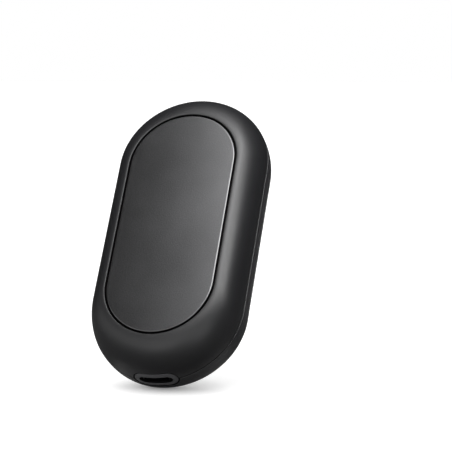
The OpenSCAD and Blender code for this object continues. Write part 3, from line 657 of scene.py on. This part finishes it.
class HANDWARMER_OT_front_cover(Operator):
    """Builds the front cover with the recess that the heating plate lies in"""

    bl_idname = "handwarmer.front_cover"
    bl_label = "Front cover"

    def execute(self, context):
        hand = context.scene.hand_warmer
        body, plate, port = hand.body, hand.plate, hand.port
        outer = Skin(body, -1, body.front_fullness, body.half_thickness, 0, body.seam_depth)
        inner = Skin(body, -1, body.front_fullness, plate.ceiling, body.wall, 0)
        recess_w, recess_l = plate.half_width + plate.gap, plate.half_length + plate.gap
        edge = rounded(0, body.half_thickness, plate.lip, 1)
        wall_h = np.concatenate([edge[:, 1], [plate.ledge + plate.lip, plate.ledge]])
        grow = np.concatenate([edge[:, 0], [0, 0]])
        recess = outline(recess_w + grow, recess_l + grow, recess_w + grow, wall_h, -1)
        window = outline(
            plate.window_half_width,
            plate.window_half_length,
            plate.window_corner,
            [plate.ledge, plate.ceiling],
            -1,
        )
        lip, wall = recess[:ROUND_STEPS], recess[ROUND_STEPS - 1 :]
        sprayed, painted_shade = cover_sides(outer, inner, port)
        sprayed.append(np.concatenate([outer.rings()[LOW_LEVELS:], lip]))
        # Painted shade: the darker black goes on the recess's wall round the plate, the window in its ledge
        # and the inside
        painted_shade.append(np.concatenate([wall, window, inner.rings()[LOW_LEVELS:][::-1]]))
        grids = [(g, 0) for g in sprayed] + [(g, 1) for g in painted_shade]
        materials = [shell_plastic(hand.finishes), painted_shade_plastic(hand.finishes)]
        build("front_cover", grids, materials, "housing", "front_shell")
        return {"FINISHED"}


class HANDWARMER_OT_rear_cover(Operator):
    """Builds the rear cover with its dished button ring and three light wells"""

    bl_idname = "handwarmer.rear_cover"
    bl_label = "Rear cover"

    def execute(self, context):
        hand = context.scene.hand_warmer
        body, button, port = hand.body, hand.button, hand.port
        outer = Skin(body, 1, body.rear_fullness, body.half_thickness, 0, body.seam_depth)
        inner = Skin(body, 1, body.rear_fullness, button.inside, body.wall, 0)
        rings, back = outer.rings(), inner.rings()
        thick, centre, hole = body.half_thickness, (0, button.centre), button.radius + button.gap
        reach = np.linspace(0, 1, DISH_ROWS)
        fall_r = button.dish_radius + reach * (hole + button.edge - button.dish_radius)
        fall_h = thick - button.dish_depth * reach**button.dish_curve
        fall = np.stack([fall_r, fall_h], axis=-1)
        edge = rounded(hole, fall_h[-1], button.edge, 1)
        dish = np.concatenate([[(button.dish_radius + LEVEL_RIM, thick)], fall[:-1], edge])
        guide = [edge[-1], (hole, button.ring_bottom), (button.dish_radius, button.ring_bottom)]
        guide.append((button.dish_radius, button.inside))
        well = rounded(button.well_radius, thick, button.well_edge, 1)
        lip = (well[0, 0] + LEVEL_RIM, thick)
        angles = np.array([-1, 0, 1]) * button.light_step
        across, up = button.light_arc * np.sin(angles), button.light_arc * np.cos(angles)
        wells = np.stack([across, button.centre + up], axis=-1)

        def face(ring, dish_radius, well_radius, height):
            """A level face with the hole of the dished ring and those of the lights."""
            lights = [(c, well_radius, WELL_STEPS) for c in wells]
            return face_with_holes(ring, [(centre, dish_radius, CIRCLE_STEPS), *lights], height)

        sprayed, painted_shade = cover_sides(outer, inner, port)
        sprayed += [rings[LOW_LEVELS:], lathe(dish, centre, CIRCLE_STEPS)]
        # Painted shade: the darker black goes on the inside, the ring that guides the button and the walls of
        # the lights' holes
        painted_shade += [back[LOW_LEVELS:], lathe(guide, centre, CIRCLE_STEPS)]
        for c in wells:
            sprayed.append(lathe([lip, well[0]], c, WELL_STEPS))
            painted_shade.append(lathe([*well, (button.well_radius, button.inside)], c, WELL_STEPS))
        outside = face(rings[-1], button.dish_radius + LEVEL_RIM, lip[0], thick)
        inside = face(back[-1], button.dish_radius, button.well_radius, button.inside)
        grids = [(g, 0) for g in sprayed] + [(g, 1) for g in painted_shade]
        fills = [(outside, 0), (inside, 1)]
        materials = [shell_plastic(hand.finishes), painted_shade_plastic(hand.finishes)]
        build("rear_cover", grids, materials, "housing", "rear_shell", fills)
        return {"FINISHED"}


class HANDWARMER_OT_warm_plate(Operator):
    """Builds the heating plate with its cut, bevelled edge"""

    bl_idname = "handwarmer.warm_plate"
    bl_label = "Heating plate"

    def execute(self, context):
        hand = context.scene.hand_warmer
        plate = hand.plate
        edge = rounded(0, plate.top, plate.bevel, -1)
        inset, height = -edge[::-1, 0], edge[::-1, 1]
        wide, long = plate.half_width - inset, plate.half_length - inset
        side = outline(wide[:1], long[:1], wide[:1], [plate.bottom, height[0]], -1)
        bevel = outline(wide, long, wide, height, -1)
        level = np.array([0, plate.bevel / 3])
        flat = outline(wide[-1] - level, long[-1] - level, wide[-1] - level, plate.top, -1)
        grids = [(side, 0), (bevel, 1), (flat, 0), (stadium_cap(flat[-1]), 0), (stadium_cap(side[0]), 0)]
        materials = [anodised_aluminium(hand.finishes), cut_edge(hand.finishes)]
        build("warm_plate", grids, materials, "housing", "heating_plate", smooth_to=50)
        return {"FINISHED"}


class HANDWARMER_OT_port_ring(Operator):
    """Builds the ring round the charging port, which follows the rounded end of the body"""

    bl_idname = "handwarmer.port_ring"
    bl_label = "Port ring"

    def execute(self, context):
        hand = context.scene.hand_warmer
        body, port = hand.body, hand.port
        skins = [
            Skin(body, 1, body.rear_fullness, body.half_thickness, 0, 0),
            Skin(body, -1, body.front_fullness, body.half_thickness, 0, 0),
        ]
        quarter = np.linspace(0, math.pi / 2, RING_TURN_STEPS)

        def loop(width, height, sink):
            """One closed row round a slot on the body's end, sunk by a length."""
            x, h = slot(width, height, quarter, RING_SIDE_STEPS)
            rear, front = (skin.end(x / skin.halves(h)[0], h) for skin in skins)
            row = np.concatenate([rear, front[::-1][1:]])
            row[:, 2] += sink + port.sink
            return row

        def level(width, height, z):
            """One closed row round a slot at a fixed place along the body."""
            row = loop(width, height, 0)
            row[:, 2] = z
            return row

        turn = np.linspace(0, math.pi / 2, ROUND_STEPS)
        rounding = list(zip(2 * port.edge * (1 - np.sin(turn)), port.edge * (1 - np.cos(turn))))
        ring = np.array([port.width, port.height])
        mouth = np.array([port.mouth_width, port.mouth_height])
        face = np.linspace(ring - 2 * port.edge, mouth + 2 * port.edge, RING_ROWS)[1:-1]
        shown = [loop(*(ring - step), sink) for step, sink in rounding[::-1]]
        shown += [loop(*sizes, 0) for sizes in face]
        shown += [loop(*(mouth + step), sink) for step, sink in rounding]
        mouth_floor = port.mouth_depth - body.half_length
        hidden = [
            shown[-1],
            level(port.mouth_width, port.mouth_height, mouth_floor),
            level(port.throat_width, port.throat_height, mouth_floor),
            level(port.throat_width, port.throat_height, port.back),
            level(port.width, port.height, port.back),
            shown[0],
        ]
        root, tip, half = port.ear_root * port.width / 2, port.ear_width / 2, port.ear_height / 2
        ears = []
        for low, high in ((-tip, -root), (root, tip)):
            ears += box_faces((low, -half, port.back - port.ear_length), (high, half, port.back))
        # Painted shade: the darker black goes on the opening's walls, the way through and the ears
        grids = [(np.array(shown), 0), (np.array(hidden), 1)] + [(g, 1) for g in ears]
        materials = [satin_plastic(hand.finishes), painted_shade_plastic(hand.finishes)]
        build("port_ring", grids, materials, "housing", "port_surround")
        return {"FINISHED"}


class HANDWARMER_OT_button_cap(Operator):
    """Builds the power button with its engraved symbol"""

    bl_idname = "handwarmer.button_cap"
    bl_label = "Power button"

    def execute(self, context):
        hand = context.scene.hand_warmer
        button = hand.button
        middle = np.linspace(0, SYMBOL_REACH, SYMBOL_ROWS)
        beyond = np.linspace(BUTTON_REST, button.radius - button.edge, BUTTON_ROWS)
        r = np.concatenate([middle, beyond])[:, None]
        angle = np.linspace(0, 2 * math.pi, BUTTON_STEPS + 1)
        x, up = r * np.sin(angle), r * np.cos(angle)
        face = np.stack([x, button.top - engraving(x, up, button), up + button.centre], axis=-1)
        profile = [
            *rounded(button.radius, button.top, button.edge, -1),
            (button.radius, button.flange_top),
            (button.flange_radius, button.flange_top),
            (button.flange_radius, button.flange_bottom),
            (button.stem_radius, button.flange_bottom),
            (button.stem_radius, button.foot),
            (0, button.foot),
        ]
        # x and z change places, so that the columns start above the centre, as the face's do
        across, h, along = np.moveaxis(lathe(profile, (0, button.centre), BUTTON_STEPS), -1, 0)
        turned = np.stack([along - button.centre, h, across + button.centre], axis=-1)
        grids = [(face, 0), (turned, 0)]
        materials = [button_plastic(hand.finishes)]
        build("button_cap", grids, materials, "button", "power_button")
        return {"FINISHED"}


class HANDWARMER_OT_inner_parts(Operator):
    """Gives every CAD node that is carried over its finish, by its material slot"""

    bl_idname = "handwarmer.inner_parts"
    bl_label = "Inner parts"

    def execute(self, context):
        made = {
            slot_name: grained(name, (linear(one), linear(two)), grain, depth, rough, INNER_SPREAD, metallic)
            for slot_name, (name, one, two, grain, depth, rough, metallic) in INNER_FINISHES.items()
        }
        for row in frame["record"]["subparts"]:
            node = frame["nodes"][row["node"]]
            if row["material_slot"] in made:
                node.data.materials.clear()
                node.data.materials.append(made[row["material_slot"]])
        return {"FINISHED"}


# Studio

# The photograph's line of sight, right and up, in the part's frame
LOOK = Vector((-0.3409, 0.8124, 0.4731)).normalized()
RIGHT = LOOK.cross(Vector((0.0144, -0.4987, 0.8667))).normalized()
UP = RIGHT.cross(LOOK)
DRAPE_WAY = (RIGHT * 0.45 + UP * 0.75 + LOOK * 0.5).normalized()  # from the part to the drape's middle

PICTURE_PIXELS = 452  # width of the picture
SENSOR_WIDTH = 36  # width of the camera's sensor, in millimetres
NEAREST, FURTHEST = 0.05, 20  # how near and how far the camera sees
STAGE_STEPS = 48  # columns round the cards and the drape
CARD_ROWS = 4  # rows across each card
DRAPE_ROWS = 13  # rows from the drape's middle to its edge
BOARD_BLOTCH = 1 / 60  # width in metres of the faint blotches in the floor's paint
# The glow is weakest near the foot: a painted shadow over the real soft shadow of the light from all round
GLOW_STARTS, GLOW_ENDS = 0.003, 0.022  # distances from the foot between which the floor's glow rises
GLOW_LEAST, GLOW_MOST = 0.2, 0.6  # the glow's strength at those distances
STAGE_PIECES = ["floor", "near_card", "floor_card", "black_drape"]

# Softboxes: name, direction (right, up, towards the camera), distance, width, height in metres, and how
# many times as bright as white paper the front is
SOFTBOXES = [
    ("far_left_strip", (-0.40, 0.82, 0.40), 0.14, 0.035, 0.14, 0.5),
    ("left_strip", (-0.20, 0.84, 0.48), 0.14, 0.035, 0.14, 4.5),
    ("mid_left_strip", (0.0, 0.83, 0.55), 0.14, 0.035, 0.14, 2.6),
    ("middle_strip", (0.18, 0.78, 0.57), 0.14, 0.035, 0.14, 7.0),
    ("mid_right_strip", (0.36, 0.73, 0.55), 0.14, 0.035, 0.14, 4.8),
    ("right_strip", (0.55, 0.63, 0.50), 0.14, 0.035, 0.14, 3.0),
    ("far_right_strip", (0.72, 0.52, 0.36), 0.14, 0.035, 0.14, 1.0),
    ("right_softbox", (0.69, 0.50, 0.53), 0.13, 0.05, 0.05, 6.2),
    ("top_softbox", (0.15, 0.99, 0.0), 0.13, 0.08, 0.06, 1.5),
    ("fill_softbox", (-0.43, -0.31, 0.85), 0.26, 0.12, 0.12, 2.0),
    ("low_softbox", (0.3, -0.3, 0.9), 0.26, 0.12, 0.12, 2.1),
    ("rear_strip", (-0.14, -0.12, -0.98), 0.14, 0.03, 0.12, 18.0),
    ("rear_wide_softbox", (0.12, -0.16, -0.97), 0.13, 0.08, 0.08, 6.0),
]


class HANDWARMER_OT_studio(Operator):
    """Sets up the pale floor, the lamps, the white surroundings and the camera"""

    bl_idname = "handwarmer.studio"
    bl_label = "Studio"

    def execute(self, context):
        scene, studio = context.scene, context.scene.hand_warmer.studio
        self.camera(scene, studio)
        self.floor(scene, studio)
        self.surroundings(scene, studio)
        self.drape(scene, studio)
        self.lamps(scene, studio)
        scene.view_settings.view_transform = "Standard"
        return {"FINISHED"}

    def camera(self, scene, studio):
        """The camera stands off along the line of sight and is turned a little, so that the part lies left
        of the middle of the frame, as it does in the photograph."""
        data = bpy.data.cameras.new("camera")
        data.lens, data.sensor_width = studio.lens, SENSOR_WIDTH
        data.clip_start, data.clip_end = NEAREST, FURTHEST
        pixel = SENSOR_WIDTH / PICTURE_PIXELS / data.lens
        ahead = (LOOK + RIGHT * studio.aim_right * pixel + UP * studio.aim_up * pixel).normalized()
        side = ahead.cross(UP).normalized()
        turned = Matrix((side, side.cross(ahead), -ahead)).transposed()
        camera = bpy.data.objects.new("camera", data)
        camera.matrix_world = Matrix.Translation(-LOOK * studio.distance) @ turned.to_4x4()
        scene.collection.objects.link(camera)
        scene.camera = camera

    def floor(self, scene, studio):
        """A wide flat floor just under the lowest point of the part, tipped as the photograph's is, with a
        mid grey card round the foot and a dark one beyond it. Only reflections see the cards, whose rows are
        ellipses round one middle."""
        normal = (UP - LOOK * math.tan(studio.floor_tip)).normalized()
        away = normal.cross(RIGHT).normalized()
        cover = mesh_points(scene.objects["rear_cover"])
        foot = Vector(cover[(cover @ np.array(normal)).argmin()]) - normal * 2 * studio.card_lift
        half = studio.floor_size / 2
        corners = [RIGHT * half * a + away * half * b for a, b in ((-1, -1), (1, -1), (1, 1), (-1, 1))]
        mesh = bpy.data.meshes.new("floor")
        mesh.from_pydata([tuple(c) for c in corners], [], [(0, 1, 2, 3)])
        mesh.materials.append(self.pale_board())
        floor = bpy.data.objects.new("floor", mesh)
        floor.location = foot
        scene.collection.objects.link(floor)
        middle = np.array(foot + normal * studio.card_lift + RIGHT * studio.near_side)
        turn = np.linspace(0, 2 * math.pi, STAGE_STEPS + 1)[None, :, None]
        way = np.cos(turn) * studio.near_stretch * np.array(RIGHT) + np.sin(turn) * np.array(away)
        near = np.linspace(0, studio.near_depth, CARD_ROWS)[:, None, None]
        far = np.linspace(studio.near_depth, studio.card_radius, CARD_ROWS)[:, None, None]
        self.reflected(scene, "near_card", middle + near * way, "mid_grey_paper", studio.near_grey)
        self.reflected(scene, "floor_card", middle + far * way, "dark_grey_paper", studio.card_grey)

    def pale_board(self):
        """Pale painted board. The light from all round gives it four fifths of white and its own glow, for
        the camera and reflections, the rest. The glow is weakest under the part: a painted shadow laid over
        the real soft shadow there. From behind the board isn't there, so that it never stands in front of the
        part."""
        material, tree = new_tree("pale_board")
        seen = seen_by(tree)
        place = add(tree, "ShaderNodeTexCoord").outputs["Object"]
        blotches = {"Scale": 1 / BOARD_BLOTCH, "Detail": 2.0}
        mottle = add(tree, "ShaderNodeTexNoise", blotches, {"Vector": place})
        tone = add(
            tree,
            "ShaderNodeMix",
            {"A": (0.8, 0.8, 0.8, 1), "B": (0.82, 0.82, 0.82, 1)},
            {"Factor": mottle.outputs["Fac"]},
            data_type="RGBA",
        )
        colour_out = [o for o in tone.outputs if o.type == "RGBA"][0]
        board = add(tree, "ShaderNodeBsdfDiffuse", links={"Color": colour_out})
        # Less glow nearer the foot: painted shadow
        far = add(tree, "ShaderNodeVectorMath", links={0: place}, operation="LENGTH")
        own = add(
            tree,
            "ShaderNodeMapRange",
            {"From Min": GLOW_STARTS, "From Max": GLOW_ENDS, "To Min": GLOW_LEAST, "To Max": GLOW_MOST},
            {"Value": far.outputs["Value"]},
        )
        shown = {0: seen, 1: own.outputs["Result"]}
        strength = add(tree, "ShaderNodeMath", links=shown, operation="MULTIPLY").outputs[0]
        glow = add(tree, "ShaderNodeEmission", links={"Strength": strength})
        lit = add(tree, "ShaderNodeAddShader", links={0: board.outputs[0], 1: glow.outputs[0]})
        clear = add(tree, "ShaderNodeBsdfTransparent")
        behind = add(tree, "ShaderNodeNewGeometry").outputs["Backfacing"]
        sides = {0: behind, 1: lit.outputs[0], 2: clear.outputs[0]}
        sided = add(tree, "ShaderNodeMixShader", links=sides)
        add(tree, "ShaderNodeOutputMaterial", links={"Surface": sided.outputs[0]})
        return material

    def surroundings(self, scene, studio):
        """White all round. The camera, reflections and clear plastic see it at full white, and every other
        ray meets the ambient level, which is higher on the left than on the right."""
        world = bpy.data.worlds.new("surroundings")
        scene.world = world
        world.use_nodes = True
        tree = world.node_tree
        tree.nodes.clear()
        seen = seen_by(tree)
        way = add(tree, "ShaderNodeTexCoord").outputs["Generated"]
        rightward = add(tree, "ShaderNodeVectorMath", {1: tuple(RIGHT)}, {0: way}, operation="DOT_PRODUCT")
        left, right = studio.ambient + studio.ambient_lean, studio.ambient - studio.ambient_lean
        ambient = add(
            tree,
            "ShaderNodeMapRange",
            {"From Min": -1.0, "From Max": 1.0, "To Min": left, "To Max": right},
            {"Value": rightward.outputs["Value"]},
        )
        ends = {"Value": seen, "To Min": ambient.outputs["Result"]}
        level = add(tree, "ShaderNodeMapRange", {"To Max": 1.0}, ends).outputs["Result"]
        white = add(tree, "ShaderNodeBackground", {"Color": (1, 1, 1, 1)}, {"Strength": level})
        add(tree, "ShaderNodeOutputWorld", links={"Surface": white.outputs[0]})

    def drape(self, scene, studio):
        """A black drape hung behind, above and to the right of the set, as a studio has it for a black
        object: a part of a sphere, seen only in reflections, that keeps the covers' edges dark."""
        side = DRAPE_WAY.cross(UP).normalized()
        fall = side.cross(DRAPE_WAY)
        tilt = np.linspace(0, studio.drape_reach, DRAPE_ROWS)[:, None, None]
        turn = np.linspace(0, 2 * math.pi, STAGE_STEPS + 1)[None, :, None]
        round_it = np.cos(turn) * np.array(side) + np.sin(turn) * np.array(fall)
        way = np.cos(tilt) * np.array(DRAPE_WAY) + np.sin(tilt) * round_it
        self.reflected(scene, "black_drape", way * studio.drape_distance, "black_velvet", studio.drape_grey)

    def reflected(self, scene, name, grid, finish, grey):
        """A plain dull stage piece that only reflections see."""
        mesh = bpy.data.meshes.new(name)
        mesh.from_pydata(grid.reshape(-1, 3).tolist(), [], grid_quads(*grid.shape[:2]).tolist())
        material, tree = new_tree(finish)
        dull = add(tree, "ShaderNodeBsdfDiffuse", {"Color": (grey, grey, grey, 1)})
        add(tree, "ShaderNodeOutputMaterial", links={"Surface": dull.outputs[0]})
        mesh.materials.append(material)
        piece = bpy.data.objects.new(name, mesh)
        scene.collection.objects.link(piece)
        piece.visible_camera = piece.visible_diffuse = piece.visible_transmission = False
        piece.visible_shadow = piece.visible_volume_scatter = False

    def lamps(self, scene, studio):
        """Softboxes round the part. They leave the stage out, so that the floor keeps the soft shadow of the
        light from all round. The fill softbox also leaves out the plate, whose bevel would mirror it, and
        the rear ones light only the button side."""
        beside = [*STAGE_PIECES, "warm_plate"]
        front = self.receivers("lit_from_the_front", STAGE_PIECES, "EXCLUDE")
        groups = {
            "fill": self.receivers("lit_beside_the_plate", beside, "EXCLUDE"),
            "rear": self.receivers("lit_from_behind", ["rear_cover", "button_cap", "light_pipe"], "INCLUDE"),
        }
        for name, (right, up, near), distance, width, height, brightness in SOFTBOXES:
            way = (RIGHT * right + UP * up - LOOK * near).normalized()
            data = bpy.data.lights.new(name, "AREA")
            data.shape, data.size, data.size_y = "RECTANGLE", width, height
            data.energy = math.pi * width * height * brightness * studio.lamp_level
            lamp = bpy.data.objects.new(name, data)
            lamp.visible_camera = False
            lamp.light_linking.receiver_collection = groups.get(name.split("_")[0], front)
            turned = way.to_track_quat("Z", "Y").to_matrix().to_4x4()
            lamp.matrix_world = Matrix.Translation(way * distance) @ turned
            scene.collection.objects.link(lamp)

    def receivers(self, name, pieces, state):
        """A collection that says which objects a lamp lights or leaves out."""
        collection = bpy.data.collections.new(name)
        for piece in pieces:
            collection.objects.link(bpy.data.objects[piece])
        for entry in collection.collection_objects:
            entry.light_linking.link_state = state
        return collection


class HandWarmer(PropertyGroup):
    """All sizes, colours and studio settings of the hand warmer."""

    body: PointerProperty(type=BodySizes)
    plate: PointerProperty(type=PlateSizes)
    button: PointerProperty(type=ButtonSizes)
    port: PointerProperty(type=PortSizes)
    finishes: PointerProperty(type=Finishes)
    studio: PointerProperty(type=Studio)


class HANDWARMER_PT_sidebar(Panel):
    """Lists the pieces in the order they are built"""

    bl_idname = "HANDWARMER_PT_sidebar"
    bl_label = "Hand warmer"
    bl_space_type = "VIEW_3D"
    bl_region_type = "UI"
    bl_category = "Hand warmer"

    def draw(self, context):
        for operator in OPERATORS:
            self.layout.operator(operator.bl_idname)


OPERATORS = (
    HANDWARMER_OT_front_cover,
    HANDWARMER_OT_rear_cover,
    HANDWARMER_OT_warm_plate,
    HANDWARMER_OT_port_ring,
    HANDWARMER_OT_button_cap,
    HANDWARMER_OT_inner_parts,
    HANDWARMER_OT_studio,
)
GROUPS = (BodySizes, PlateSizes, ButtonSizes, PortSizes, Finishes, Studio, HandWarmer)
CLASSES = (*GROUPS, *OPERATORS, HANDWARMER_PT_sidebar)


def register():
    for cls in CLASSES:
        bpy.utils.register_class(cls)
    bpy.types.Scene.hand_warmer = PointerProperty(type=HandWarmer)


def unregister():
    del bpy.types.Scene.hand_warmer
    for cls in reversed(CLASSES):
        bpy.utils.unregister_class(cls)


def main():
    """Builds every piece in order, then the studio."""
    register()
    bpy.ops.handwarmer.front_cover()
    bpy.ops.handwarmer.rear_cover()
    bpy.ops.handwarmer.warm_plate()
    bpy.ops.handwarmer.port_ring()
    bpy.ops.handwarmer.button_cap()
    bpy.ops.handwarmer.inner_parts()
    bpy.ops.handwarmer.studio()


if __name__ == "__main__":
    main()
